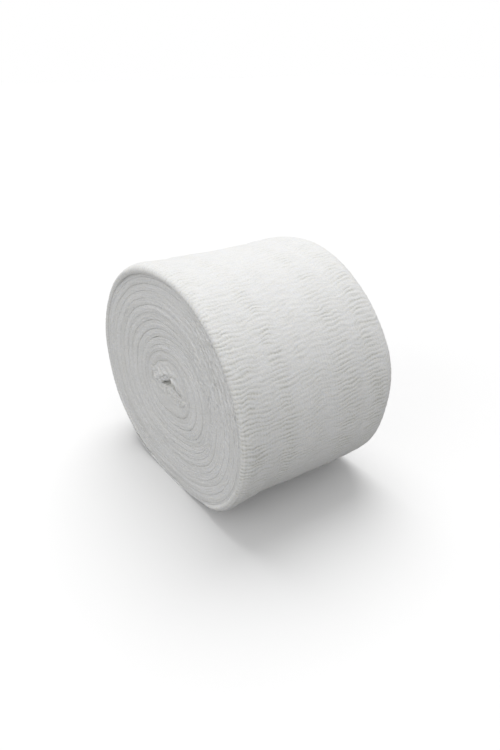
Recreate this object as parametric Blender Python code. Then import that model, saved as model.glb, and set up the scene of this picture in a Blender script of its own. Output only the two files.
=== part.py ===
"""Gauze bandage roll: one long strip of soft cotton gauze, wound on itself and lying on its side.

The roll's axis runs along X and it rests on Z = 0. The origin is under its middle, and the near end faces -X.
It is a plain drum at first, spun from a profile, whose points are then moved on to the slumped, uneven roll.
"""

import math

import bmesh
import bpy

# Driving dimensions, in metres
STRIP_WIDTH = 0.075
MEAN_RADIUS = 0.0545
SHOULDER_DEPTH = 0.0044
FLAT_RISE = 0.0016
END_RECESS = 0.0016
HOLLOW_DEPTH = 0.014
LAYER = 0.0009

# Shares of the way from the core out to the roll's surface
LIP_SHARE = 0.175
CRUMPLE_SHARE = 0.30
LOOSE_SHARE = 0.43
FACE_SHARE = 0.912
TURN_SHARE = 0.15
TAIL_SHARE = 0.82
EASE = 0.08

# The core is pressed to this share of its plain height, easing off between two shares of the way out
CORE_FLATNESS = 0.20
FLAT_FROM = 0.10
FLAT_TO = 0.34

# Heights and depths of the soft relief, in metres
TURN_RELIEF = 0.0007
LOOSE_STEP = 0.0005
CRUMPLE = 0.0006

# The core lies beside the middle of the section and a little above it, in metres
CORE_ASIDE = -0.0074
CORE_ABOVE = 0.0019

COLUMNS = 64
SEARCH_STEPS = 720
FACE_RINGS = 18
OUTER_RINGS = 17
TAIL_COLUMN = 55.5
TAIL_GAP = 0.06
MERGE = 1e-5
ROUNDING = 5
SHARP_ANGLE = math.radians(60)

# How the section differs from a circle: the waves that run round it, with their parts as shares of the radius.
# The angle starts at +Y and turns towards +Z.
SECTION_WAVES = (
    # waves, cosine part, sine part
    (2, 0.091, -0.007),
    (3, 0.008, -0.021),
    (4, -0.006, 0.001),
)

# The crumples round the core.
CORE_WAVES = (
    # waves round the core, height as a share of the crumple, start in radians
    (3, 1.0, 0.8),
    (5, 0.6, -1.1),
)

# The roll's end from the hollow's floor to its lip, and from the wound face over the shoulder.
CORE_PROFILE = (
    # share of the way out, depth below the roll's end in metres
    (0.000, HOLLOW_DEPTH),
    (0.060, 0.0120),
    (0.105, 0.0060),
    (0.140, 0.0018),
)
RIM_PROFILE = (
    # share of the way out, depth below the roll's end in metres
    (0.925, 0.0007),
    (0.942, 0.0001),
    (0.968, 0.0004),
    (0.989, 0.0017),
)

# Soft troughs round the roll, between the bands of stronger crinkle.
BANDS = (
    # place along the roll from its middle, half width, depth, all in metres
    (-0.0220, 0.0042, 0.0006),
    (-0.0120, 0.0036, 0.0003),
    (0.0040, 0.0050, 0.0002),
    (0.0215, 0.0042, 0.0006),
)


def clear_scene():
    """Removes the objects of the startup scene."""
    for obj in list(bpy.data.objects):
        bpy.data.objects.remove(obj, do_unlink=True)


def soft_step(value, start, end):
    """0 before the start and 1 after the end, with a smooth rise between."""
    share = min(max((value - start) / (end - start), 0.0), 1.0)
    return share * share * (3.0 - 2.0 * share)


def tail_angle():
    """The angle at which the strip's free end lies on the roll."""
    return TAIL_COLUMN * math.tau / COLUMNS


def moved_angle(angle, share):
    """The angle of a column. Near the roll's surface, the two beside the free end come close to its edge."""
    column = angle * COLUMNS / math.tau
    offset = column - TAIL_COLUMN
    if abs(offset) < 1.0:
        pull = soft_step(share, TAIL_SHARE, FACE_SHARE)
        column -= pull * (offset - math.copysign(TAIL_GAP, offset))
    return column * math.tau / COLUMNS


def section_radius(angle, share):
    """The distance from the axis to the surface: a slumped oval, and one layer more before the free end."""
    waves = sum(cosine * math.cos(count * angle) + sine * math.sin(count * angle)
                for count, cosine, sine in SECTION_WAVES)
    wound = ((angle - tail_angle()) % math.tau) / math.tau
    return MEAN_RADIUS * (1.0 + waves) + LAYER * (wound - 0.5) * soft_step(share, TAIL_SHARE, FACE_SHARE)


def resting_height():
    """The height of the roll's axis over the surface that it rests on."""
    angles = [step * math.tau / SEARCH_STEPS for step in range(SEARCH_STEPS)]
    return -min(section_radius(angle, 1.0) * math.sin(angle) for angle in angles) - FLAT_RISE


def trough_depth(along):
    """How far the surface is drawn in at this place along the roll."""
    return sum(depth * math.exp(-(((along - place) / half) ** 2)) for place, half, depth in BANDS)


def end_relief(share, angle):
    """How far the wound end stands out here: its coarse turns, its loose inner turns and its crumpled core."""
    turned = soft_step(share, LIP_SHARE, LIP_SHARE + EASE) - soft_step(share, FACE_SHARE - EASE, FACE_SHARE)
    turns = TURN_RELIEF * turned * math.cos(share * math.tau / TURN_SHARE - angle)
    loose = LOOSE_STEP * (1.0 - soft_step(share, LOOSE_SHARE - EASE / 4, LOOSE_SHARE + EASE / 4))
    at_core = soft_step(share, LIP_SHARE - EASE, LIP_SHARE) - soft_step(share, LIP_SHARE, CRUMPLE_SHARE)
    uneven = sum(part * math.cos(count * angle + start) for count, part, start in CORE_WAVES)
    return turns + loose + CRUMPLE * at_core * uneven


def flattening(share):
    """The height of a turn as a share of its plain height: the core is pressed almost shut."""
    return CORE_FLATNESS + (1.0 - CORE_FLATNESS) * soft_step(share, FLAT_FROM, FLAT_TO)


def placed(along, share, angle):
    """Moves a point of the plain drum on to the roll."""
    angle = moved_angle(angle, share)
    side = math.copysign(1.0, along)
    radius = section_radius(angle, share)
    if share >= 1.0:
        radius -= trough_depth(along)
    edge_y = radius * math.cos(angle)
    edge_z = radius * math.sin(angle)
    y = CORE_ASIDE + share * (edge_y - CORE_ASIDE)
    z = CORE_ABOVE + share * flattening(share) * (edge_z - CORE_ABOVE)
    if share < 1.0:
        along += side * end_relief(share, angle)
    return along, y, max(z + resting_height(), 0.0)


def end_profile():
    """The profile of one end, from the axis out, as share of the way out and depth below the roll's end."""
    rows = list(CORE_PROFILE)
    for ring in range(FACE_RINGS + 1):
        share = LIP_SHARE + (FACE_SHARE - LIP_SHARE) * ring / FACE_RINGS
        rows.append((share, END_RECESS))
    rows.extend(RIM_PROFILE)
    return rows


def drum_profile():
    """The profile from the near end's middle to the far end's, as place along and share of the way out."""
    half = STRIP_WIDTH / 2
    near = [(-half + depth, share) for share, depth in end_profile()]
    reach = half - SHOULDER_DEPTH
    outer = [(-reach + 2 * reach * ring / OUTER_RINGS, 1.0) for ring in range(OUTER_RINGS + 1)]
    far = [(-along, share) for along, share in reversed(near)]
    return near + outer + far


def spun_drum():
    """Spins the profile round the X axis into a closed drum of radius 1."""
    drum = bmesh.new()
    points = [drum.verts.new((along, share, 0.0)) for along, share in drum_profile()]
    edges = [drum.edges.new(pair) for pair in zip(points, points[1:])]
    bmesh.ops.spin(
        drum,
        geom=points + edges,
        cent=(0.0, 0.0, 0.0),
        axis=(1.0, 0.0, 0.0),
        dvec=(0.0, 0.0, 0.0),
        angle=math.tau,
        steps=COLUMNS,
        use_merge=False,
        use_duplicate=False,
    )
    bmesh.ops.remove_doubles(drum, verts=drum.verts, dist=MERGE)
    return drum


def gauze_material():
    """Soft white cotton, with no gloss."""
    material = bpy.data.materials.new("cotton_gauze")
    material.use_nodes = True
    surface = material.node_tree.nodes["Principled BSDF"]
    surface.inputs["Base Color"].default_value = (0.83, 0.83, 0.81, 1.0)
    surface.inputs["Roughness"].default_value = 0.95
    return material


def bandage_roll(collection):
    """The wound strip, one closed body: its outer turn, wound ends, core hollows and flat spot."""
    drum = spun_drum()
    for point in drum.verts:
        share = round(math.hypot(point.co.y, point.co.z), ROUNDING)
        angle = math.atan2(point.co.z, point.co.y) % math.tau
        point.co = placed(point.co.x, share, angle)
    reaches = [point.co.y for point in drum.verts]
    middle = (min(reaches) + max(reaches)) / 2
    bmesh.ops.translate(drum, vec=(0.0, -middle, 0.0), verts=drum.verts)
    bmesh.ops.recalc_face_normals(drum, faces=drum.faces)
    mesh = bpy.data.meshes.new("bandage_roll")
    drum.to_mesh(mesh)
    drum.free()
    mesh.materials.append(gauze_material())
    mesh.shade_smooth()
    mesh.set_sharp_from_angle(angle=SHARP_ANGLE)
    roll = bpy.data.objects.new("bandage_roll", mesh)
    collection.objects.link(roll)
    return roll


def main():
    clear_scene()
    collection = bpy.data.collections.new("gauze_bandage_roll")
    bpy.context.scene.collection.children.link(collection)
    bandage_roll(collection)


main()
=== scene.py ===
# %% [markdown]
# # A gauze bandage roll
# A gauze bandage is one long strip of soft, open cotton cloth, wound on itself. This one lies on its side, so its
# own weight has slumped it into an oval and pressed a small flat spot under it. The lesson builds what shows: the
# wound turns on both ends, the crumpled core, and the crinkled outermost turn, and gives them a cotton finish.
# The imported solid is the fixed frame, and every piece is worked out as whole numpy arrays on top of it.

import bpy
import numpy as np
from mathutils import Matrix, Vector


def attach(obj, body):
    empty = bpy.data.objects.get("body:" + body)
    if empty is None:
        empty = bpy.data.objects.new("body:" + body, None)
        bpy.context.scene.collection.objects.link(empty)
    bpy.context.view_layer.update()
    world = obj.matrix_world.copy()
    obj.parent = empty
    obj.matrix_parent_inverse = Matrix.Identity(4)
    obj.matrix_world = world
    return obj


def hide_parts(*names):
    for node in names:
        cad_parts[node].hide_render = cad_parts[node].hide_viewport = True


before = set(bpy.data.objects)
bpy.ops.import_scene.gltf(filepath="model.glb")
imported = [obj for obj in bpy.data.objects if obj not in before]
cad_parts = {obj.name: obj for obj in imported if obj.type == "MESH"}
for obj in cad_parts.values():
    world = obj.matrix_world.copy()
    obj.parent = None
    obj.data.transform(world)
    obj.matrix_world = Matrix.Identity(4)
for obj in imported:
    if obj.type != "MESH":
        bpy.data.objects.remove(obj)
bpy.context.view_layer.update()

# %% [markdown]
# ## Soft curves
# Nothing on soft cloth starts or stops sharply. Nearly every change below fades in or out with one of these
# curves: a step that eases up between two values, the same step down, a bell round a place, and a flatter bell
# round an angle of the roll. Their sums and products are soft too.

# %% Soft curves
TURN = 2 * np.pi


def soft_step(value, start, end):
    """0 before the start, 1 after the end, and the cubic 3t^2 - 2t^3 between."""
    t = np.clip((value - start) / (end - start), 0, 1)
    return t * t * (3 - 2 * t)


def soft_stop(value, start, end):
    """1 before the start and 0 after the end: one minus the soft step."""
    return 1 - soft_step(value, start, end)


def bell(value, middle, half):
    """1 at the middle, falling to about a third at the half width: exp(-(offset / half)^2)."""
    return np.exp(-(((value - middle) / half) ** 2))


def around(angle, middle, half, power=4):
    """1 near the middle angle in degrees, falling to 0 past the half width: exp(-(offset / half)^power)."""
    offset = (np.degrees(angle) - middle + 180) % 360 - 180
    return np.exp(-(np.abs(offset / half) ** power))


print("a quarter of the way along a soft step:", soft_step(0.25, 0, 1))

# %% [markdown]
# ## The roll's own coordinates
# A point of a roll is easiest to name by how it was wound: the angle round the axis, and the share of the way out
# from the core to the surface. The angle starts at +Y and turns towards the top. The section is a circle plus a
# few slow waves, which is a cheap way to draw a slumped oval. The core lies beside the middle, and it is pressed
# almost shut, so the inner turns are flattened too. One function turns share and angle into a place, and
# everything below is drawn through it.

# %% Section of the roll
STRIP_WIDTH = 0.075
MEAN_RADIUS = 0.0545
# the free end: how far its one layer stands out, and its angle
LAYER, TAIL_ANGLE = 0.0009, np.radians(312.2)
# how far the table flattens the underside
FLAT_RISE = 0.0016
# the core's place from the axis, and the roll's own small shift, in metres
CORE_ASIDE, CORE_ABOVE = -0.0074, 0.0019
MIDDLE_ASIDE = 0.0002
# the core's height as a share of its plain height, the shares of the way out between which that eases off, and
# how much later it eases off below the core than above it
CORE_FLATNESS = 0.22
FLAT_FROM, FLAT_TO = 0.10, 0.27
LATER_BELOW = 0.055
SECTION_WAVES = (
    # waves round the roll, cosine part, sine part
    (2, 0.091, -0.007),
    (3, 0.008, -0.021),
    (4, -0.006, 0.001),
)


def section_radius(angle):
    """Distance from the axis to the surface: the mean radius, times one plus the waves' sum."""
    waves = sum(c * np.cos(n * angle) + s * np.sin(n * angle) for n, c, s in SECTION_WAVES)
    return MEAN_RADIUS * (1 + waves)


search = np.linspace(0, TURN, 720)
wound_layer = LAYER * (((search - TAIL_ANGLE) % TURN) / TURN - 0.5)
AXIS_HEIGHT = -np.min((section_radius(search) + wound_layer) * np.sin(search)) - FLAT_RISE
CORE_HEIGHT = AXIS_HEIGHT + CORE_ABOVE


def roll_place(share, angle, extra=0.0):
    """Y and Z of a point: from the core's middle, the share of the way to the surface at that angle. Near the
    core the height shrinks, as the first turns lie flat. The extra is added to the radius."""
    radius = section_radius(angle) + extra
    later = LATER_BELOW * (1 - np.sin(angle)) / 2
    flat = CORE_FLATNESS + (1 - CORE_FLATNESS) * soft_step(share, FLAT_FROM + later, FLAT_TO + later)
    y = CORE_ASIDE + share * (radius * np.cos(angle) - CORE_ASIDE) - MIDDLE_ASIDE
    z = CORE_ABOVE + share * flat * (radius * np.sin(angle) - CORE_ABOVE) + AXIS_HEIGHT
    return y, z


print("the roll's axis is", round(AXIS_HEIGHT * 1000, 1), "mm above the table")

# %% [markdown]
# ## Unevenness
# Soft cloth is never regular. A patch of random numbers, smoothed by cutting off its high frequencies, gives hills
# and hollows of any chosen length in each direction. Long in one direction and short in the other, it gives
# puckers. Where the surface isn't a grid, a few sine waves in random directions do the same. Each call names the
# seed of its random generator, so the roll is the same each time.

# %% Smoothed random patches
CUT = 2.2
WAVE_COUNT = 9
WAVE_SPREAD = (0.75, 1.35)


def uneven(rows, columns, row_length, column_length, seed):
    """White noise whose spectrum is multiplied by a bell curve in each direction, scaled to a spread of 1."""
    noise = np.random.default_rng(seed).standard_normal((rows, columns))
    row_cut = np.exp(-0.5 * (np.fft.fftfreq(rows)[:, None] * row_length * CUT) ** 2)
    column_cut = np.exp(-0.5 * (np.fft.fftfreq(columns)[None, :] * column_length * CUT) ** 2)
    smooth = np.fft.ifft2(np.fft.fft2(noise) * row_cut * column_cut).real
    return (smooth - smooth.mean()) / smooth.std()


def soft_hills(y, z, length, seed):
    """Sum of sine waves of about this length that run in random directions over the roll's end. Spread of 1."""
    draw = np.random.default_rng(seed)
    total = 0
    for _ in range(WAVE_COUNT):
        way, start, part = draw.uniform(0, TURN), draw.uniform(0, TURN), draw.uniform(*WAVE_SPREAD)
        total = total + np.sin(TURN * part * (y * np.cos(way) + z * np.sin(way)) / length + start)
    return total / np.sqrt(WAVE_COUNT / 2)


print("spread of a patch:", round(float(uneven(60, 60, 6, 6, 1).std()), 2))

# %% [markdown]
# ## From a grid of points to a strip of cloth
# Each turn is a strip with a closed section, carried along its winding. The points come as a grid, with one row
# for each place along the strip and one column for each point of the section. Joining neighbours gives four-sided
# faces, and the two cut ends are closed. A second grid travels with the points as an attribute: how far along and
# across the cloth each one lies, and how much painted shade, with a little random tone, its colour carries. The
# material reads it.

# %% Strip builder
def strip_mesh(name, points, cloth):
    """Vertices are the grid row by row. Face (i, j) joins (i, j), (i, j+1), (i+1, j+1), (i+1, j)."""
    rows, columns = points.shape[:2]
    index = np.arange(rows * columns).reshape(rows, columns)
    after = np.roll(index, -1, axis=1)
    quads = np.stack([index[:-1], after[:-1], after[1:], index[1:]], axis=-1).reshape(-1, 4)
    caps = [index[0][::-1].tolist(), index[-1].tolist()]
    mesh = bpy.data.meshes.new(name)
    mesh.from_pydata(points.reshape(-1, 3), [], quads.tolist() + caps)
    layer = mesh.attributes.new("cloth", "FLOAT_VECTOR", "POINT")
    layer.data.foreach_set("vector", cloth.astype(np.float32).ravel())
    mesh.shade_smooth()
    mesh.update()
    piece = bpy.data.objects.new(name, mesh)
    bpy.context.scene.collection.objects.link(piece)
    print(name, "has", 2 * len(quads) + 2 * (columns - 2), "triangles")
    return piece


def stacked(*parts):
    """One grid of three-part values, from three grids or values that numpy can spread to the same size."""
    return np.stack(np.broadcast_arrays(*parts), axis=-1)


def signed_volume(points):
    """Sum of the triple products a . (b x c) + a . (c x d) over the corners of all faces: six times the volume
    between them and the origin, and positive if they face outwards."""
    a = points[:-1]
    b = np.roll(points, -1, axis=1)[:-1]
    c = np.roll(points, -1, axis=1)[1:]
    d = points[1:]
    return np.einsum("ijk,ijk->", a, np.cross(b, c)) + np.einsum("ijk,ijk->", a, np.cross(c, d))


def facing_out(points, cloth):
    """Both grids, with their columns reversed if the strip's faces point inwards."""
    return (points, cloth) if signed_volume(points) >= 0 else (points[:, ::-1], cloth[:, ::-1])


square = np.array([(0, -1, -1), (0, 1, -1), (0, 1, 1), (0, -1, 1)], dtype=float)
tube = np.stack([square, square + (1, 0, 0)])
print("the sides of a small test tube face outwards:", bool(signed_volume(tube) > 0))

# %% [markdown]
# ## The wound turns
# Seen from the end, the roll is the strip's own edge, going round and round from the core to the rim. So the edge
# is modelled as what it is: one strip whose section is as wide as the bandage and as thick as one turn, carried
# along a spiral. That costs more points than a flat disc with a bump picture of rings, but it has real grooves,
# which shade well from every side. Below, the turns reach nearly to the roll's edge, because the weight presses
# them outwards there.

# %% The spiral
START_ANGLE = np.radians(-25)
LAST_WINDING = 13.95
RIM_SHARE = 0.940
# the share by which the turns reach further out at the underside, and its middle and half angle in degrees
LOW_EDGE, UNDERSIDE = 0.026, (250, 50)
# the share of the way out at the strip's start, its gain with each turn, and how that gain falls off
SHARE_START, SHARE_GAIN, SHARE_FALL = 0.1010, 0.0675, 0.000560


def wound_share(winding):
    """Share of the way out after w turns: start + gain w - fall w^2, as the roll is looser at its core."""
    return SHARE_START + SHARE_GAIN * winding - SHARE_FALL * winding**2


def low_edge(angle):
    """How much further out the turns reach here, as a share: a broad bell at the underside."""
    return LOW_EDGE * around(angle, *UNDERSIDE)


print("share of the way out after one turn:", round(wound_share(1), 3))

# %% [markdown]
# ## The core
# The roll has no tube in its middle. The other turns press the first ones flat and crumple them round a low, dark
# slit. Modelled by hand, this would be a knot of cloth. Here it is a set of moves that fade away outwards, and all
# the turns near the core follow them, so neighbours stay neighbours.

# %% The core's slit
SLIT_MIDDLE = -0.0060
ARCH_HEIGHT, ARCH_HALF, ARCH_DROP = 0.00295, 0.0064, 0.0018
MOUTHS = (
    # place beside the slit's middle, half width, how far the slit gapes, all in metres
    (0.0036, 0.0028, 0.0009),
    (-0.0034, 0.0032, 0.0019),
)


def slit_arch(y):
    """Height of the slit's middle line over the core's height: one bell-shaped hump along Y."""
    return ARCH_HEIGHT * bell(y, SLIT_MIDDLE, ARCH_HALF) - ARCH_DROP


print("the slit's arch is", round(1000 * slit_arch(SLIT_MIDDLE), 1), "mm over the core's height")

# %% Places of the wound turns
# how far the turns lie aside of their plain places, in metres along Y
CORE_SHIFT, FIRST_SHIFT, LOOSE_SHIFT = 0.0017, -0.0015, -0.0028
# the innermost turns are drawn in to the slit: in width, less so at its right, and in height
NARROWED, NARROWED_LESS, LOWERED = 0.22, 0.10, 0.50
LEFT_REACH = 0.0035
LEFT_PART, RIGHT_PART = (355, 60, 2), (185, 60, 2)
# reach and length of the waves that crumple the core and let the turns wander
CRUMPLE, CRUMPLE_LENGTH = 0.00030, 0.0065
WANDER, WANDER_LENGTH = 0.0002, 0.030
# shares of the way out between which each move fades away, and the place and half width of the loose turns
INMOST, SHIFTED, FIRST_SHIFTED = (0.13, 0.30), (0.20, 0.42), (0.11, 0.20)
CRUMPLED, WANDERING = (0.17, 0.33), (0.80, 0.93)
LOOSE_TURNS = (0.42, 0.12)


def wound_place(share, angle):
    """The roll's place, with the innermost turns shifted, pressed into an arched slit that gapes at two mouths,
    and crumpled by two fields of hills. A slower pair of fields makes all the turns wander a little."""
    y, z = roll_place(share, angle)
    inmost = soft_stop(share, *INMOST)
    y = y + CORE_SHIFT * soft_stop(share, *SHIFTED) + FIRST_SHIFT * soft_stop(share, *FIRST_SHIFTED)
    y = y + LOOSE_SHIFT * bell(share, *LOOSE_TURNS)
    squeeze = NARROWED - NARROWED_LESS * around(angle, *RIGHT_PART)
    y = y + inmost * (squeeze * (SLIT_MIDDLE - y) + LEFT_REACH * around(angle, *LEFT_PART))
    mouth = sum(gape * bell(y, SLIT_MIDDLE + aside, half) for aside, half, gape in MOUTHS)
    z = z + inmost * (LOWERED * (CORE_HEIGHT - z) + slit_arch(y) + mouth * np.sin(angle))
    crumple = CRUMPLE * soft_stop(share, *CRUMPLED)
    wander = WANDER * soft_stop(share, *WANDERING)

    def moved(place, crumple_seed, wander_seed):
        """The place, plus the crumple and the wander, each times its own field of hills."""
        crumpled = place + crumple * soft_hills(y, z, CRUMPLE_LENGTH, crumple_seed)
        return crumpled + wander * soft_hills(y, z, WANDER_LENGTH, wander_seed)

    return moved(y, 3, 5), moved(z, 4, 6)


def summed_length(y, z):
    """Length of the path so far at each of its points: the running sum of the steps between them."""
    return np.concatenate([[0], np.cumsum(np.hypot(np.diff(y), np.diff(z)))])


# summed along the strip's middle line, half way between one turn and the next
fine = np.linspace(0, LAST_WINDING, 60000)
fine_length = summed_length(*wound_place(wound_share(fine + 0.5), START_ANGLE + TURN * fine))
print("the strip in the wound turns is", round(fine_length[-1], 2), "m long")

# %% [markdown]
# ## Rows along the strip
# A turn is short at the core and long at the rim, so rows at even angles would be crowded at the core. They lie at
# even steps of the strip's length instead, and a little closer near the core, where the bends are tighter. The
# strip is cut into three pieces, so that none grows too heavy. Neighbours share a row, so no gap shows.

# %% Rows along the strip
PIECES = ("inner_turns", "middle_turns", "outer_turns")
CUTS = (0, 4.30, 9.2, LAST_WINDING)
ROW_STEPS = (0.00036, 0.00047, 0.00047)


def even_rows(first, last, step):
    """Winding numbers an even step apart along the strip, from the summed length of its spiral."""
    ends = np.interp([first, last], fine, fine_length)
    length = np.linspace(ends[0], ends[1], int((ends[1] - ends[0]) / step) + 1)
    return np.interp(length, fine_length, fine)


rows = [even_rows(first, last, step) for first, last, step in zip(CUTS, CUTS[1:], ROW_STEPS)]
winding = np.concatenate([rows[0], rows[1][1:], rows[2][1:]])
joins = np.cumsum([0] + [len(part) - 1 for part in rows])
along = np.interp(winding, fine, fine_length)
row_step = np.mean(np.diff(along))
print(len(winding), "rows, about", round(row_step * 1000, 2), "mm apart")

# %% [markdown]
# ## The strip's edge
# The edge has 16 points across the thickness of a turn. They are close together where something fine shows: at
# both sides, and at the two seams between its three plies. Half a turn stands off at two fifths of the way out,
# which leaves the thin dark gap that the roll shows there.

# %% Places of the edge
PLY_POINTS = np.array([
    0, 0.035, 0.10, 0.20, 0.29, 0.333, 0.376, 0.46,
    0.54, 0.624, 0.667, 0.71, 0.80, 0.90, 0.965, 1,
])
PLY_COUNT = 3
# shares of a turn's thickness: the gap at each of its sides, and what the loose half turn adds to it
SIDE_GAP, LOOSE_GAP = 0.008, 0.045
# the loose half turn, counted in turns from the start, and how gently it opens and closes
GAP_FROM, GAP_TO, GAP_EASE, GAP_LATE = 5.155, 5.675, 0.1, 0.25
# the share of the way out past which the underside's turns reach further, and their least height
RIM_BEGINS, EDGE_LIFT = 0.80, 0.0007

u = PLY_POINTS[None, :]
inner = wound_share(winding)[:, None]
outer = np.minimum(wound_share(winding + 1), RIM_SHARE)[:, None]
gap = soft_step(winding, GAP_FROM - GAP_EASE, GAP_FROM + GAP_EASE)
gap = gap * soft_stop(winding, GAP_TO - GAP_LATE, GAP_TO + GAP_EASE)
side_gap = SIDE_GAP + LOOSE_GAP * gap[:, None]
angle = (START_ANGLE + TURN * winding)[:, None]
shares = inner + (outer - inner) * (side_gap + (1 - side_gap - SIDE_GAP) * u)
shares = shares + low_edge(angle) * soft_step(shares, RIM_BEGINS, RIM_SHARE)
y, z = wound_place(shares, angle)
z = np.maximum(z, EDGE_LIFT)
print("the edge has", y.size, "points")

# %% [markdown]
# ## What shows between the turns
# A turn and the next one touch, and their rounded edges leave a fine groove. So do the plies. The grooves are
# notches cut into the edge, deeper where the winding is more open, which changes slowly along the strip. A few
# places near the core are open enough to show as dark arcs.

# %% Notches between turns and plies
NOTCH_DEPTH, SEAM_DEPTH = 0.00005, 0.00004
NOTCH_HALF, SEAM_HALF = 0.075, 0.04
# openness between turns and between plies: its mean, its spread, and its limits
MEAN_OPEN, OPEN_SPREAD, OPEN_LIMITS = 0.66, 0.45, (0.1, 2.0)
SEAM_OPEN, SEAM_SPREAD, SEAM_LIMITS = 0.7, 0.7, (0, 2.2)
# the first turns lie shut: their share of the openness, and the turns over which it grows
SHUT_SHARE, SHUT_TURNS = 0.3, (1.5, 3.5)
OPEN_PLACES = (
    # place in turns from the start, half width in turns, how much more open
    (1.345, 0.04, 2.0),
    (2.325, 0.07, 2.5),
    (2.625, 0.05, 2.0),
)


def along_noise(length, seed, channels=1, channel_length=1):
    """Unevenness along the strip, with hills of this length in metres."""
    return uneven(len(winding), channels, length / row_step, channel_length, seed)


openness = np.clip(MEAN_OPEN + OPEN_SPREAD * along_noise(length=0.030, seed=21)[:, 0], *OPEN_LIMITS)
openness = openness * (SHUT_SHARE + (1 - SHUT_SHARE) * soft_step(winding, *SHUT_TURNS))
openness = openness + sum(more * bell(winding, at, half) for at, half, more in OPEN_PLACES)
next_open = np.interp(winding + 1, winding, openness)
side_notch = openness[:, None] * bell(u, 0, NOTCH_HALF) + next_open[:, None] * bell(u, 1, NOTCH_HALF)
seam_open = SEAM_OPEN + SEAM_SPREAD * along_noise(length=0.022, seed=22, channels=2)
seam_open = np.clip(seam_open, *SEAM_LIMITS)
seam_notch = sum(seam_open[:, [k - 1]] * bell(u, k / PLY_COUNT, SEAM_HALF) for k in (1, 2))
notches = NOTCH_DEPTH * side_notch + SEAM_DEPTH * seam_notch
print("deepest notch:", round(float(notches.max()) * 1000, 2), "mm")

# %% [markdown]
# ## Heights of the wound end
# The end isn't flat. Whole turns and single plies stand a little out or in, as they were wound. The edge of the
# cloth crinkles, most so in the upper right part, which looks rougher than the rest. The plies of the crumpled
# core are the most uneven. Each of these is one more term in the depth of a point below the roll's end.

# %% Uneven turns and plies
TURN_RELIEF = 0.00006
PLY_RELIEF, CORE_PLY_RELIEF = 0.00003, 0.00042
FINE_CRINKLE, COARSE_CRINKLE = 0.00006, 0.00003
ROUGHER, ROUGH_PART, ROUGH_SHARES = 1.2, (152, 30), (0.40, 0.60)
CORE_SHARES = (0.15, 0.29)

points_across = len(PLY_POINTS)
ply = np.minimum((PLY_POINTS * PLY_COUNT).astype(int), PLY_COUNT - 1)
at_core = soft_stop(shares, *CORE_SHARES)
turn_numbers = np.arange(-1, 17)
turn_draws = np.random.default_rng(24).uniform(-1, 1, len(turn_numbers))
turn_height = TURN_RELIEF * np.interp(winding, turn_numbers, turn_draws)[:, None]
ply_height = PLY_RELIEF * along_noise(length=0.014, seed=23, channels=PLY_COUNT)[:, ply]
core_plies = along_noise(length=0.0070, seed=28, channels=PLY_COUNT)[:, ply]
ply_height = ply_height + CORE_PLY_RELIEF * at_core * core_plies
rough = 1 + ROUGHER * around(angle, *ROUGH_PART) * soft_step(shares, *ROUGH_SHARES)
fine_crinkle = along_noise(length=0.0010, seed=25, channels=points_across, channel_length=1.2)
coarse_crinkle = along_noise(length=0.0035, seed=26, channels=points_across, channel_length=2.5)
crinkle = rough * (FINE_CRINKLE * fine_crinkle + COARSE_CRINKLE * coarse_crinkle)
print("crinkle of the edge, spread:", round(float(crinkle.std()) * 1000, 3), "mm")

# %% [markdown]
# ## The dish of the wound end
# The wound turns lie a little below the roll's end: deepest under the rim at the top, and nearly flush with it
# below. The loose inner turns stand a little further out. On top of that come soft hills as wide as a thumb, the
# crumpled hills and creases of the core, and a funnel that leads down into its slit.

# %% Dish, hills and funnel
# depths in metres below the roll's end: everywhere, within the rim, under the rim at its top and at its back,
# below the core, and the rise of the loose inner turns
PLAIN_DEPTH, INNER_DEPTH, TOP_DEPTH, BACK_DEPTH = 0.0004, 0.0003, 0.0012, 0.0005
CORE_DEPTH, LOOSE_RISE = 0.0005, 0.0002
# the shares of the way out between which each of them comes in or goes out
WITHIN_RIM, TOP_RIM, BACK_RIM = (0.4, 0.9), (0.62, 0.92), (0.74, 0.94)
CORE_DISH, LOOSE_INNER = (0.13, 0.27), (0.34, 0.42)
# middle and half angle, in degrees, of parts of the roll, and how much the low part takes from the back's depth
TOP, BACK, LOW, BELOW_CORE = (84, 50), (320, 78), (258, 45), (285, 72)
LOW_SHARE = 0.6
END_HILLS, END_HILL_LENGTH = 0.00008, 0.018
CORE_HILLS, CORE_HILL_LENGTH = 0.00014, 0.0056
CORE_CREASES, CORE_CREASE_LENGTH = 0.00019, 0.0032
# the funnel is the first turn's inner side: its depth, and the turns over which it ends
FUNNEL_DEPTH, FUNNEL_ENDS = 0.0012, (0.90, 1.12)
CROWN = 0.00006

dish = PLAIN_DEPTH + INNER_DEPTH * soft_stop(shares, *WITHIN_RIM)
dish = dish + TOP_DEPTH * soft_step(shares, *TOP_RIM) * around(angle, *TOP)
back = around(angle, *BACK) - LOW_SHARE * around(angle, *LOW)
dish = dish + BACK_DEPTH * soft_step(shares, *BACK_RIM) * back
dish = dish + CORE_DEPTH * soft_stop(shares, *CORE_DISH) * around(angle, *BELOW_CORE)
dish = dish - LOOSE_RISE * soft_stop(inner, *LOOSE_INNER)
creases = at_core * soft_hills(y, z, CORE_CREASE_LENGTH, seed=9)
hills = END_HILLS * soft_hills(y, z, END_HILL_LENGTH, seed=7)
hills = hills + CORE_HILLS * at_core * soft_hills(y, z, CORE_HILL_LENGTH, seed=8) + CORE_CREASES * creases
funnel = FUNNEL_DEPTH * (1 - u) ** 3 * soft_stop(winding, *FUNNEL_ENDS)[:, None]
even_depth = dish + turn_height + notches + funnel + CROWN * (2 * u - 1) ** 2 + ply_height
print("mean depth below the roll's end:", round(float(even_depth.mean()) * 1000, 2), "mm")
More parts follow.
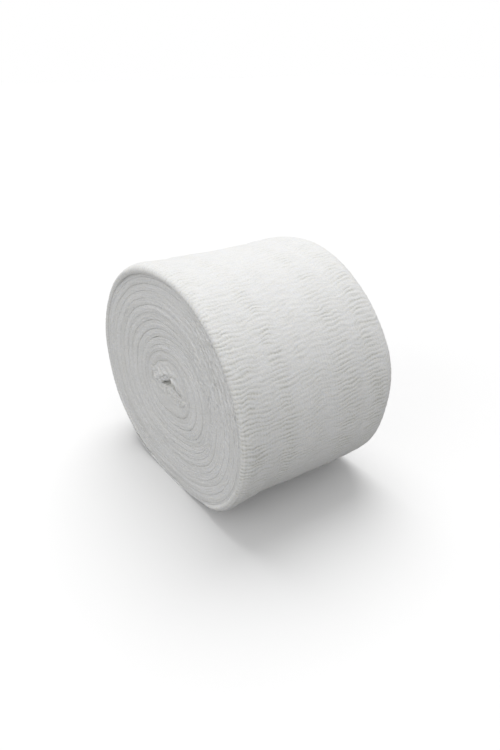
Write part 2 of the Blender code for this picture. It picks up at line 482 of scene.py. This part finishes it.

# %% [markdown]
# ## Painted shade of the edge
# Light that falls between two turns hardly comes out again, and the real gaps are deeper than the modelled ones.
# So each point carries painted shade, a darkening of its colour that stands in for that lost light: in grooves, at
# the sides of a turn, in the creases of the core, and on the wall of its slit. Stripes along single plies add a
# tone that differs at random.

# %% Painted shade of the edge
GROOVE_SHADE, SIDE_SHADE, STRIPE_TONE, CORE_CREASE_SHADE = 0.35, 0.29, 0.18, 0.42
DARKEST_EDGE, DEEPEST_CREASE = 0.8, 2
# the least notch that shows as a line, as a share of the plain one
LEAST_NOTCH = 0.2
MEAN_STRIPE = 0.5
SLIT_SHADE_ENDS = (0.95, 1.1)

# painted shade: grooves, the sides of each turn and the core's creases darken the colour; ply stripes are random
# tone
line = np.clip(notches / NOTCH_DEPTH - LEAST_NOTCH, 0, 1)
stripes = rough * (MEAN_STRIPE + along_noise(length=0.035, seed=27, channels=PLY_COUNT))[:, ply]
shade_and_tone = GROOVE_SHADE * line + SIDE_SHADE * np.abs(2 * u - 1) ** 3 + STRIPE_TONE * stripes
shade_and_tone = np.clip(shade_and_tone + CORE_CREASE_SHADE * np.clip(creases, 0, DEEPEST_CREASE), 0, DARKEST_EDGE)
# painted shade: the wall of the slit, the first turn's innermost column, is the darkest
slit_shade = (u == 0) * soft_stop(winding, *SLIT_SHADE_ENDS)[:, None]
shade_and_tone = np.maximum(shade_and_tone, slit_shade)
print("mean tone of the edge:", round(float(shade_and_tone.mean()), 2))

# %% [markdown]
# ## Both ends in one section
# The section runs across the near end, then back across the far one, so both ends belong to one strip. The same
# heights serve both, with the crinkle reversed and the hills lower on the far end, which is the plainer one. Two
# more columns close the hollow of the core a little way inside each end: the slit is dark, and nothing can be seen
# through it.

# %% Near end, far end and the core's closing columns
# where the core closes, in metres from the roll's middle, and the height that is left there, as a share
POCKET_END, POCKET_HEIGHT = 0.0338, 0.1
POCKET_TURNS = (0.92, 1.12)
FAR_HILLS = 0.6
# how much of the cloth's width one turn's edge takes up, in metres
EDGE_SPAN = 0.0028

near_x = -(STRIP_WIDTH / 2 - (even_depth + hills + crinkle))
far_x = STRIP_WIDTH / 2 - (even_depth + FAR_HILLS * hills - crinkle)
near_cloth = stacked(along[:, None], -STRIP_WIDTH / 2 + (u - 0.5) * EDGE_SPAN, shade_and_tone)
far_cloth = stacked(along[:, None], STRIP_WIDTH / 2 + (u - 0.5) * EDGE_SPAN, shade_and_tone)[:, ::-1]
open_share = 1 - (1 - POCKET_HEIGHT) * soft_stop(winding, *POCKET_TURNS)
slit_height = CORE_HEIGHT + slit_arch(y[:, 0])
pocket_z = slit_height + open_share * (z[:, 0] - slit_height)
pocket = [stacked(inside_x, y[:, 0], pocket_z)[:, None] for inside_x in (POCKET_END, -POCKET_END)]
points = np.concatenate([stacked(near_x, y, z), stacked(far_x, y, z)[:, ::-1], *pocket], axis=1)
cloth = np.concatenate([near_cloth, far_cloth, far_cloth[:, -1:], near_cloth[:, :1]], axis=1)
points, cloth = facing_out(points, cloth)
print(points.shape[1], "points in the section")

# %% The three wound pieces
wound_pieces = []
for name, first, last in zip(PIECES, joins, joins[1:]):
    piece = strip_mesh(name, points[first:last + 1], cloth[first:last + 1])
    wound_pieces.append((piece, float(along[last] - along[first])))

# %% [markdown]
# ## The outermost turn
# Only this turn shows its broad side, so it carries the crinkle. It is carried along the roll's outline like the
# wound turns, but most of its section's points lie outside. The section rolls over both shoulders on to the ends,
# as the cloth does. It starts a little before its own free end, so that the end has something to lie on.

# %% Outline of the outermost turn
TURN_ROWS = 1040
ACROSS_COUNT = 61
# how many turns it starts before its own free end, and the share of the way out of its hidden inside
FLAP_BACK, TURN_INNER = 0.08, 0.931
# how far the rim's outer and inner arcs reach in along the roll, in metres
SHOULDER, RIM_DEPTH = 0.0044, 0.0005
# share of the turn's thickness at which the rim stands out furthest, and the points of its two arcs
CREST = 0.36
INNER_ARC, OUTER_ARC = 6, 10
# the section's hidden inside needs only a few points: places along the roll
INSIDE = np.array([0.0342, 0.0325, 0.0250, 0, -0.0250, -0.0325, -0.0342])


def turn_section():
    """From the near end's inner corner over the rim to the outside, then along it, mirrored, and back inside. Each
    point has its share of the turn's thickness and its depth from the roll's end, both on quarter ellipses."""
    t = np.linspace(0, np.pi / 2, INNER_ARC)
    inner_u, inner_depth = CREST - CREST * np.sin(t[::-1]), RIM_DEPTH * (1 - np.cos(t[::-1]))
    t = np.linspace(0, np.pi / 2, OUTER_ARC)[1:]
    outer_u, outer_depth = CREST + (1 - CREST) * np.sin(t), SHOULDER * (1 - np.cos(t))
    rim_u = np.concatenate([inner_u, outer_u])
    rim_x = -STRIP_WIDTH / 2 + np.concatenate([inner_depth, outer_depth])
    reach = STRIP_WIDTH / 2 - SHOULDER
    broad = np.linspace(-reach, reach, ACROSS_COUNT)[1:-1]
    section_u = np.concatenate([rim_u, np.ones(len(broad)), rim_u[::-1], np.zeros(len(INSIDE))])
    section_x = np.concatenate([rim_x, broad, -rim_x[::-1], INSIDE])
    return section_u, section_x


section_u, section_x = turn_section()
columns = len(section_u)
visible = columns - len(INSIDE)
winding = np.linspace(-FLAP_BACK, 1.0, TURN_ROWS)
angle = (TAIL_ANGLE + TURN * winding)[:, None]
x = section_x[None, :]
print(columns, "points in the section")

# %% [markdown]
# ## The turn's cloth coordinates
# A pattern that belongs to the cloth has to follow it round the roll and over the shoulders. So each point gets
# two lengths, both summed along the surface: how far along the strip it lies, and how far across it.

# %% Cloth coordinates of the outermost turn
# about how thick the turn is at its rim, in metres
RIM_THICKNESS = 0.0038

fine = np.linspace(-FLAP_BACK, 1.0, 8000)
fine_length = summed_length(*roll_place(1.0, TAIL_ANGLE + TURN * fine))
turn_length = float(fine_length[-1])
along = np.interp(winding, fine, fine_length)[:, None]
per_mm = 0.001 * TURN_ROWS / turn_length
side_path = summed_length(section_x, section_u * RIM_THICKNESS)
across = (side_path - side_path[visible // 2])[None, :]
print("the outermost turn is", round(turn_length, 3), "m long")

# %% [markdown]
# ## Ridges that wander
# Crinkled gauze is drawn up along its length, so the threads that run across the strip lie in fine ridges, 1.75 mm
# apart. A ridge is a cosine of the length along the strip. It drifts aside as it crosses the troughs, more so at
# the top of the roll, and sways by a share of its pitch: slowly all round the roll, and quickly from ridge to
# ridge. The noise is longer across the strip than along it, so each ridge stays one continuous line.

# %% Crinkle of the outermost turn
RIDGE_PITCH = 0.00175
DRIFTS = (
    # start and end along the roll, drift round it, all in metres
    (-0.022, -0.016, -0.0005),
    (-0.0125, 0.0015, -0.0025),
    (0.008, 0.015, -0.0008),
    (0.0165, 0.021, 0.0006),
    (0.0215, 0.026, -0.0010),
)
TOP_DRIFT, DRIFT_TOP = 0.6, (100, 42)
SLOW_SWAY, QUICK_SWAY = 0.15, 0.17


def turn_noise(long_mm, wide, seed):
    """Unevenness over the turn's grid, with hills that are so many millimetres long and so many columns wide."""
    return uneven(TURN_ROWS, columns, long_mm * per_mm, wide, seed)


drift = sum(by * soft_step(x, start, end) for start, end, by in DRIFTS)
drift = drift * (1 + TOP_DRIFT * around(angle, *DRIFT_TOP))
sway = SLOW_SWAY * turn_noise(long_mm=26, wide=4, seed=52)
sway = sway + QUICK_SWAY * turn_noise(long_mm=3, wide=3, seed=53)
phase = (along - drift) / RIDGE_PITCH + sway
ridges = np.cos(TURN * phase)
print("ridges round the roll:", round(turn_length / RIDGE_PITCH))

# %% [markdown]
# ## Bands and troughs
# The crinkle isn't even. Where the cloth is more drawn up, the ridges stand higher, which makes bands that run
# round the roll, with smoother troughs between them. Painted on, they would leave the outline plain. So a
# strength is worked out as a sum of bells along the roll. It drives the height of the ridges and the painted shade
# in the creases between them, which the material reads, and the troughs are modelled too.

# %% Strength of the crinkle
BASE_STRENGTH, TROUGH_CALM = 0.49, 0.22
BANDS = (
    # place along the roll, half width, depth of the soft trough, all in metres
    (-0.0212, 0.0024, 0.00040),
    (-0.0118, 0.0022, 0.00026),
    (0.0035, 0.0045, 0.00017),
    (0.0212, 0.0022, 0.00046),
)
CRINKLED = (
    # place along the roll, half width, how much stronger the crinkle is there
    (-0.0368, 0.0022, 0.42),
    (-0.0325, 0.0045, 0.34),
    (-0.0175, 0.0038, 0.56),
    (0.0122, 0.0044, 0.42),
    (0.0280, 0.0048, 0.54),
)
# stronger at the front, calmer at the top and at the low part of the rim: amount, then middle and half angle
FRONT_GAIN, FRONT_PART = 0.95, (190, 27, 2)
TOP_CALM, TOP_PART = 0.30, (88, 42, 2)
LOW_RIM_CALM, LOW_RIM_PART, RIM_FROM = 0.85, (252, 46), (0.0338, 0.0352)
PATCHES, LEAST_PATCH, MOST_PATCH = 0.34, 0.20, 1.9

strength = BASE_STRENGTH + sum(more * bell(x, place, half) for place, half, more in CRINKLED)
strength = strength - TROUGH_CALM * sum(bell(x, place, half) for place, half, _ in BANDS)
strength = strength * (1 + FRONT_GAIN * around(angle, *FRONT_PART) - TOP_CALM * around(angle, *TOP_PART))
patches = turn_noise(long_mm=1.8, wide=4, seed=51)
strength = strength * np.clip(1 + PATCHES * patches, LEAST_PATCH, MOST_PATCH)
low_rim = soft_step(np.abs(x), *RIM_FROM) * around(angle, *LOW_RIM_PART)
strength = strength * (1 - LOW_RIM_CALM * low_rim)
print("strongest crinkle:", round(float(strength.max()), 2))

# %% Relief of the outermost turn
RIDGE_HEIGHT, PUCKER_HEIGHT, LUMP_HEIGHT = 0.000054, 0.000033, 0.00010
# turns over which the lumps come in and go out, and over which the turn comes out from under its flap
LUMPS_IN, LUMPS_OUT, UNCOVERED = (0, 0.06), (0.9, 0.96), (-0.01, 0.01)

puckers = turn_noise(long_mm=0.9, wide=1.8, seed=54)
away_from_ends = soft_step(winding, *LUMPS_IN) * soft_stop(winding, *LUMPS_OUT)
lumps = turn_noise(long_mm=22, wide=9, seed=55) * away_from_ends[:, None]
trough = sum(depth * bell(x, place, half) for place, half, depth in BANDS)
relief = RIDGE_HEIGHT * strength * ridges + PUCKER_HEIGHT * puckers + LUMP_HEIGHT * lumps - trough
# the hidden start of the turn lies plainly under the flap
relief = relief * soft_step(winding, *UNCOVERED)[:, None]
print("relief, spread:", round(float(relief.std()) * 1000, 3), "mm")

# %% [markdown]
# ## Slack places and plies on the rim
# Where the strip was wound with less pull, the turn stands off or dips a little, which breaks the roll's outline.
# The rim shows that the turn has plies too: two soft grooves run round each shoulder, deeper on its lower part.

# %% Slack places
SLACK = (
    # angle and half angle in degrees, then place along the roll, half width and height in metres
    (225, 12, -0.0358, 0.0034, 0.0011),
    (216, 24, 0.0170, 0.0170, 0.0006),
    (216, 24, -0.0180, 0.0060, -0.0007),
    (30, 14, -0.0360, 0.0040, -0.0005),
    (296, 12, -0.0360, 0.0040, 0.0002),
    (244, 14, -0.0366, 0.0026, -0.0008),
    (84, 16, -0.0020, 0.0060, -0.0003),
    (2, 12, -0.0360, 0.0040, 0.0003),
    (192, 12, 0.0365, 0.0050, -0.0005),
    (168, 12, 0.0370, 0.0050, 0.0004),
    (134, 16, 0.0368, 0.0060, -0.0005),
    (92, 14, 0.0355, 0.0060, 0.0004),
    (66, 20, 0.0120, 0.0180, -0.0006),
    (78, 26, -0.0350, 0.0060, 0.0006),
)
# share of the turn's thickness at each groove of the rim, and the groove's depth
RIM_GROOVES = ((0.58, 0.00022), (0.85, 0.00026))
GROOVE_HALF = 0.035
# the grooves have their whole depth at the lower part, and this share of it elsewhere
GROOVED_PART, UPPER_GROOVE = (255, 75), 0.35

for at, spread, place, half, height in SLACK:
    relief = relief + height * around(angle, at, spread, 2) * bell(x, place, half)
on_shoulder = np.abs(x) > STRIP_WIDTH / 2 - SHOULDER
lower_groove = UPPER_GROOVE + (1 - UPPER_GROOVE) * around(angle, *GROOVED_PART)
for at, depth in RIM_GROOVES:
    relief = relief - depth * lower_groove * bell(section_u, at, GROOVE_HALF) * on_shoulder
print("the turn stands off by up to", round(float(relief.max()) * 1000, 1), "mm")

# %% [markdown]
# ## The outermost turn's surface
# The turn is one layer higher at its free end than at its start, because it has gone once round. Most of it fills
# all the space out from the wound turns. Its last part thins out to a flap, one layer thick, which rests on the
# start of the turn, and its cut edge is a little wavy.

# %% Plain shape of the outermost turn
FLAP_TAPER, TAPERED = 0.0006, (0.86, 0.99)
FLAP_SPARE, FLAP_TURNS = 0.0001, (0.925, 0.955)
WAVY_TURNS = (0.97, 1.0)
END_WAVES = (
    # radians round the roll, metres along it for one radian of the wave, its start
    (0.012, 0.009, 0.6),
    (0.008, 0.0041, 0.0),
)

taper = FLAP_TAPER * soft_step(winding, *TAPERED)[:, None]
# from half a layer in at the turn's start to half a layer out at its end
layer = LAYER * (winding[:, None] - 0.5) - taper
thickness = (LAYER + FLAP_SPARE - taper) / (section_radius(angle) + layer)
past_reach = np.clip((SHOULDER - STRIP_WIDTH / 2 + np.abs(section_x)) / SHOULDER, 0, 1)
cover = CREST + (1 - CREST) * np.sqrt(1 - past_reach**2)
inner_edge = TURN_INNER + low_edge(angle)
full_share = inner_edge + (1 - inner_edge) * section_u
flap_share = inner_edge + (1 - inner_edge) * cover - thickness * (1 - section_u / cover)
share = full_share + (flap_share - full_share) * soft_step(winding, *FLAP_TURNS)[:, None]
end_wave = sum(reach * np.sin(x / length + start) for reach, length, start in END_WAVES)
wavy_angle = angle + end_wave * soft_step(winding, *WAVY_TURNS)[:, None]
y, z = roll_place(share, wavy_angle, layer)
print("the turn reaches from", round(float(z.min()) * 1000, 1), "to", round(float(z.max()) * 1000, 1), "mm up")

# %% [markdown]
# ## Relief along the normals
# The relief is added along the surface's own normals, which are cross products of the grid's two directions, so
# the ridges run on over the shoulders. It fades out at the section's two hidden corners, and stops at the table.

# %% Relief along the normals
START_INSET, BACK_INSET = 0.0004, 0.0004
RIM_FILL = 0.0004
CORNER_POINTS, CORNER_RELIEF = 5, 0.8
START_LIFT = 0.0006
INSET_ENDS, LIFT_ENDS = (-0.03, 0.01), (-0.03, -0.005)

# the start of the turn and its back part are drawn in along X, and the rim below is filled out to the plies
inset = START_INSET * soft_stop(winding, *INSET_ENDS)[:, None] + BACK_INSET * around(angle, *BACK)
rim_fill = RIM_FILL * np.clip(1 - section_u / CREST, 0, 1) ** 2 * (np.arange(columns) < visible)
inset = inset - rim_fill * around(angle, *LOW)
points = stacked(x * (1 - inset / (STRIP_WIDTH / 2)), y, z)
down_rows = np.gradient(points, axis=0)
across_columns = np.roll(points, -1, axis=1) - np.roll(points, 1, axis=1)
normal = np.cross(across_columns, down_rows)
normal /= np.linalg.norm(normal, axis=-1, keepdims=True) + 1e-12
normal *= np.sign(np.mean(normal[:, visible // 2, 1] * np.cos(angle[:, 0])))
fade = np.ones(columns)
fade[visible:] = 0
fade[:CORNER_POINTS] = np.linspace(0, CORNER_RELIEF, CORNER_POINTS)
fade[visible - CORNER_POINTS:visible] = np.linspace(CORNER_RELIEF, 0, CORNER_POINTS)
points = points + normal * (relief * fade)[..., None]
# nothing goes below the table, and the turn's covered start stays a little above it
lift = START_LIFT * soft_stop(winding, *LIFT_ENDS)[:, None]
points[..., 2] = np.maximum(points[..., 2], lift)
print("the turn is", round(float(np.ptp(points[..., 1])) * 1000, 1), "mm deep")

# %% The outermost piece
STRENGTH_SHADE, PUCKER_SHADE, MOST_SHADE = 0.65, 0.12, 1.5

# painted shade: the creases between the ridges darken where the crinkle is strong, and a little with the puckers
shade_and_tone = np.clip(STRENGTH_SHADE * strength + PUCKER_SHADE * puckers, 0, MOST_SHADE)
cloth = stacked(phase * RIDGE_PITCH, across, shade_and_tone)
outer_turn = strip_mesh("outer_turn", *facing_out(points, cloth))

# %% [markdown]
# ## The cotton finish
# Gauze is bleached cotton: white, quite matt, a little warm, and soft, because light goes into the fibres and
# comes out again near by. The ridges are in the mesh already. The threads that run along the strip, 1.3 mm apart,
# are too fine for it, so a node group works out their height from the cloth's own coordinates, adds a fibre noise,
# and works out a painted shade for the creases between the ridges. The group puts out only masks and heights, and
# each material decides what to do with them.

# %% Weave node group
GROUP_INPUTS = (
    ("Ridge Pitch", RIDGE_PITCH),
    ("Ridge Share", 1.0),
    ("Thread Spacing", 0.0013),
    ("Fibre Size", 0.0005),
)
GROUP_OUTPUTS = ("Weave Height", "Painted Shade", "Fibre")
WOBBLE_SIZE, WOBBLE_REACH = 0.0016, 0.0012
VALLEY_POWER = 3.0
BROKEN_SHARE = 0.6
THREAD_HEIGHT, FIBRE_HEIGHT = 0.25, 1.2


def weave_group():
    """Reads the cloth's three numbers: along, across, and painted shade. A thread is a raised cosine of the way
    across, and a ridge one of the way along. The painted shade of the creases is the third number times the cube of
    one minus the ridge, broken up by the threads. The height is the threads plus a fibre noise, minus that shade."""
    group = bpy.data.node_groups.new("open weave", "ShaderNodeTree")
    for name, value in GROUP_INPUTS:
        socket = group.interface.new_socket(name, in_out="INPUT", socket_type="NodeSocketFloat")
        socket.default_value = value
    for name in GROUP_OUTPUTS:
        group.interface.new_socket(name, in_out="OUTPUT", socket_type="NodeSocketFloat")
    nodes, links = group.nodes, group.links
    inputs, outputs = nodes.new("NodeGroupInput"), nodes.new("NodeGroupOutput")
    cloth = nodes.new("ShaderNodeAttribute")
    cloth.attribute_name = "cloth"
    parts = nodes.new("ShaderNodeSeparateXYZ")
    links.new(cloth.outputs["Vector"], parts.inputs[0])
    coordinates = nodes.new("ShaderNodeTexCoord")

    def math(operation, first, second=None):
        """One Math node on two values, each a socket or a number."""
        node = nodes.new("ShaderNodeMath")
        node.operation = operation
        for slot, value in zip(node.inputs, (first, second)):
            if hasattr(value, "is_linked"):
                links.new(value, slot)
            elif value is not None:
                slot.default_value = value
        return node.outputs[0]

    def noise(size, detail):
        """Noise on object coordinates, scaled by one over the size of its grains in metres."""
        node = nodes.new("ShaderNodeTexNoise")
        links.new(coordinates.outputs["Object"], node.inputs["Vector"])
        links.new(math("DIVIDE", 1.0, size), node.inputs["Scale"])
        node.inputs["Detail"].default_value = detail
        return node.outputs["Fac"]

    wobble = math("MULTIPLY", math("SUBTRACT", noise(WOBBLE_SIZE, 2.0), 0.5), WOBBLE_REACH)

    def wave(coordinate, spacing):
        """Raised cosine of the wobbling coordinate: 1 on a thread and 0 between two."""
        phase = math("DIVIDE", math("ADD", coordinate, wobble), spacing)
        cosine = math("COSINE", math("MULTIPLY", phase, TURN))
        return math("ADD", math("MULTIPLY", cosine, 0.5), 0.5)

    ridge = wave(parts.outputs["X"], inputs.outputs["Ridge Pitch"])
    thread = wave(parts.outputs["Y"], inputs.outputs["Thread Spacing"])
    valley = math("POWER", math("SUBTRACT", 1.0, ridge), VALLEY_POWER)
    broken = math("ADD", math("MULTIPLY", thread, BROKEN_SHARE), 1 - BROKEN_SHARE)
    line = math("MULTIPLY", valley, broken)
    share = inputs.outputs["Ridge Share"]
    lined = math("ADD", math("MULTIPLY", line, share), math("SUBTRACT", 1.0, share))
    # painted shade: the creases between the ridges are darkened in the colour
    crease_shade = math("MULTIPLY", parts.outputs["Z"], lined)
    fibre = noise(inputs.outputs["Fibre Size"], 4.0)
    height = math("ADD", math("MULTIPLY", thread, THREAD_HEIGHT), math("MULTIPLY", fibre, FIBRE_HEIGHT))
    links.new(math("SUBTRACT", height, crease_shade), outputs.inputs["Weave Height"])
    links.new(crease_shade, outputs.inputs["Painted Shade"])
    links.new(fibre, outputs.inputs["Fibre"])
    return group


weave = weave_group()
print("the weave group has", len(weave.nodes), "nodes")

# %% [markdown]
# ## Two finishes from one weave
# The outer turn shows the open weave, so its painted crease shade follows the ridges. On the ends only the folded
# edges show, where there are no ridges, so the painted shade worked out above is used as it is. Both are the same
# cotton. Its creases are painted a little darker and warmer, as painted shade for light that reaches them only
# after bouncing off cotton several times. Roughness, sheen and the light inside the cloth are the same all over, so
# they are set on the shader itself.

# %% Cotton materials
CREST_COLOUR = (0.870, 0.870, 0.864, 1)
COTTON = (
    # socket of the Principled shader, value
    ("Roughness", 0.92),
    ("Specular IOR Level", 0.25),
    ("Sheen Weight", 0.15),
    ("Sheen Roughness", 0.6),
    ("Subsurface Weight", 0.4),
    ("Subsurface Radius", (1.0, 0.95, 0.85)),
    ("Subsurface Scale", 0.0008),
)
# the fibre noise, from low to high, makes the colour this much darker or lighter
SPECK = (("From Min", 0.3), ("From Max", 0.7), ("To Min", 0.93), ("To Max", 1.05))
CREASE_SHADE_AT = 0.8


def set_inputs(node, values):
    """Sets the named sockets of a node, one by one."""
    for name, value in values:
        node.inputs[name].default_value = value


def cotton(name, ridge_share, fibre, bump, painted_crease_shade, painted_deep_shade):
    """Principled cotton. Its colour runs with the painted shade from the crest's colour over the painted shade of
    the creases to the darkest one, and is multiplied by the speck. The weave's height feeds its bump, which is in
    metres."""
    material = bpy.data.materials.new(name)
    material.use_nodes = True
    nodes, links = material.node_tree.nodes, material.node_tree.links
    surface = nodes["Principled BSDF"]
    set_inputs(surface, COTTON)
    group = nodes.new("ShaderNodeGroup")
    group.node_tree = weave
    set_inputs(group, (("Ridge Share", ridge_share), ("Fibre Size", fibre)))
    ramp = nodes.new("ShaderNodeValToRGB")
    ramp.color_ramp.elements[0].color = CREST_COLOUR
    ramp.color_ramp.elements[1].color = painted_deep_shade
    ramp.color_ramp.elements.new(CREASE_SHADE_AT).color = painted_crease_shade
    links.new(group.outputs["Painted Shade"], ramp.inputs["Fac"])
    speck = nodes.new("ShaderNodeMapRange")
    set_inputs(speck, SPECK)
    links.new(group.outputs["Fibre"], speck.inputs["Value"])
    tint = nodes.new("ShaderNodeVectorMath")
    tint.operation = "SCALE"
    links.new(ramp.outputs["Color"], tint.inputs[0])
    links.new(speck.outputs["Result"], tint.inputs["Scale"])
    links.new(tint.outputs["Vector"], surface.inputs["Base Color"])
    relief = nodes.new("ShaderNodeBump")
    set_inputs(relief, (("Strength", 1.0), ("Distance", bump)))
    links.new(group.outputs["Weave Height"], relief.inputs["Height"])
    links.new(relief.outputs["Normal"], surface.inputs["Normal"])
    return material


# painted shade: with a ridge share below 1, part of the crease shade spreads evenly, so crinkled bands go darker
crinkled_cotton = cotton(
    "crinkled gauze",
    ridge_share=0.85,
    fibre=0.0005,
    bump=0.00009,
    painted_crease_shade=(0.72, 0.72, 0.68, 1),
    painted_deep_shade=(0.68, 0.68, 0.64, 1),
)
edge_cotton = cotton(
    "folded gauze edges",
    ridge_share=0.0,
    fibre=0.0007,
    bump=0.00010,
    painted_crease_shade=(0.76, 0.76, 0.74, 1),
    painted_deep_shade=(0.70, 0.70, 0.67, 1),
)
outer_turn.data.materials.append(crinkled_cotton)
for piece, _ in wound_pieces:
    piece.data.materials.append(edge_cotton)
print("materials:", crinkled_cotton.name, "and", edge_cotton.name)

# %% [markdown]
# ## Tying the pieces to the frame
# The imported solid stays in the physics model but isn't shown: the turns stand for it. The flat length that each
# strip was cut to is printed.

# %% Frame and sheet lengths
for piece, length in wound_pieces + [(outer_turn, turn_length)]:
    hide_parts("bandage_roll")
    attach(piece, "root")
    print(piece.name, "was cut", round(length, 3), "m long")

# %% [markdown]
# ## Table and light
# White cloth needs a bright, even light that still tells its sides apart. Three wide lamps and a white surrounding
# do that. The strongest comes from above and behind, so that the top is the brightest side. The table looks white
# to the camera but throws back only a little light, which keeps the underside soft and grey.

# %% Floor
FLOOR_REACH = 4.0
LIT_GREY, SEEN_WHITE = (0.25, 0.25, 0.25, 1), (0.97, 0.97, 0.97, 1)

corners = np.array([(-1, -1, 0), (1, -1, 0), (1, 1, 0), (-1, 1, 0)]) * FLOOR_REACH
floor_mesh = bpy.data.meshes.new("floor")
floor_mesh.from_pydata(corners.tolist(), [], [(0, 1, 2, 3)])
floor = bpy.data.objects.new("floor", floor_mesh)
bpy.context.scene.collection.objects.link(floor)
paper = bpy.data.materials.new("pale paper")
paper.use_nodes = True
nodes, links = paper.node_tree.nodes, paper.node_tree.links
surface = nodes["Principled BSDF"]
surface.inputs["Roughness"].default_value = 1.0
light_path = nodes.new("ShaderNodeLightPath")
shade = nodes.new("ShaderNodeMix")
shade.data_type = "RGBA"
set_inputs(shade, (("A", LIT_GREY), ("B", SEEN_WHITE)))
links.new(light_path.outputs["Is Camera Ray"], shade.inputs["Factor"])
links.new(shade.outputs["Result"], surface.inputs["Base Color"])
floor_mesh.materials.append(paper)
print("the floor is", 2 * FLOOR_REACH, "m wide")

# %% Lights
LAMP_SPREAD = 50
LAMPS = (
    # name, direction of its light, strength
    ("lamp above, behind", (-0.211, -0.366, -0.906), 1.62),
    ("lamp at the near end", (0.940, 0.0, -0.342), 0.44),
    ("lamp at the front", (0.470, 0.814, -0.342), 0.43),
)


def wide_sun(name, towards, strength):
    """A sun lamp that shines along this direction. Its disc is many degrees wide, which softens its shadows."""
    lamp = bpy.data.lights.new(name, "SUN")
    lamp.energy = strength
    lamp.angle = np.radians(LAMP_SPREAD)
    holder = bpy.data.objects.new(name, lamp)
    holder.rotation_mode = "QUATERNION"
    holder.rotation_quaternion = Vector(towards).to_track_quat("-Z", "Y")
    bpy.context.scene.collection.objects.link(holder)
    print(name, "has a strength of", strength)


for lamp_row in LAMPS:
    wide_sun(*lamp_row)

# %% Surroundings
SURROUNDING_LIGHT, SURROUNDING_SEEN = 0.50, 1.0

world = bpy.data.worlds.new("studio")
world.use_nodes = True
nodes, links = world.node_tree.nodes, world.node_tree.links
light_path = nodes.new("ShaderNodeLightPath")
seen = nodes.new("ShaderNodeMapRange")
set_inputs(seen, (("To Min", SURROUNDING_LIGHT), ("To Max", SURROUNDING_SEEN)))
links.new(light_path.outputs["Is Camera Ray"], seen.inputs["Value"])
background = nodes["Background"]
links.new(seen.outputs["Result"], background.inputs["Strength"])
background.inputs["Color"].default_value = (1.0, 1.0, 1.0, 1)
bpy.context.scene.world = world
bpy.context.scene.view_settings.view_transform = "Standard"
print("the surroundings shine at", SURROUNDING_LIGHT)

# %% [markdown]
# ## The camera
# The camera stands close and looks down a little, with the wound end on its left and the broad side on its right.
# A close camera with a wide lens gives the strong perspective that the photograph has. Two angles and a distance
# place it, which are easier to fit than three coordinates.

# %% Camera
CAMERA_AZIMUTH, CAMERA_ELEVATION = np.radians(35.84), np.radians(27.93)
CAMERA_DISTANCE = 0.2659
LENS = 29.2
NEAREST_SEEN = 0.01
target = Vector((0.0, -0.0105, 0.0447))
ahead = Vector((
    np.sin(CAMERA_AZIMUTH) * np.cos(CAMERA_ELEVATION),
    np.cos(CAMERA_AZIMUTH) * np.cos(CAMERA_ELEVATION),
    -np.sin(CAMERA_ELEVATION),
))
camera_data = bpy.data.cameras.new("camera")
camera_data.lens = LENS
camera_data.clip_start = NEAREST_SEEN
camera = bpy.data.objects.new("camera", camera_data)
camera.location = target - ahead * CAMERA_DISTANCE
camera.rotation_mode = "QUATERNION"
camera.rotation_quaternion = ahead.to_track_quat("-Z", "Y")
bpy.context.scene.collection.objects.link(camera)
bpy.context.scene.camera = camera
print("the camera is", round(camera.location.z * 1000), "mm above the table")
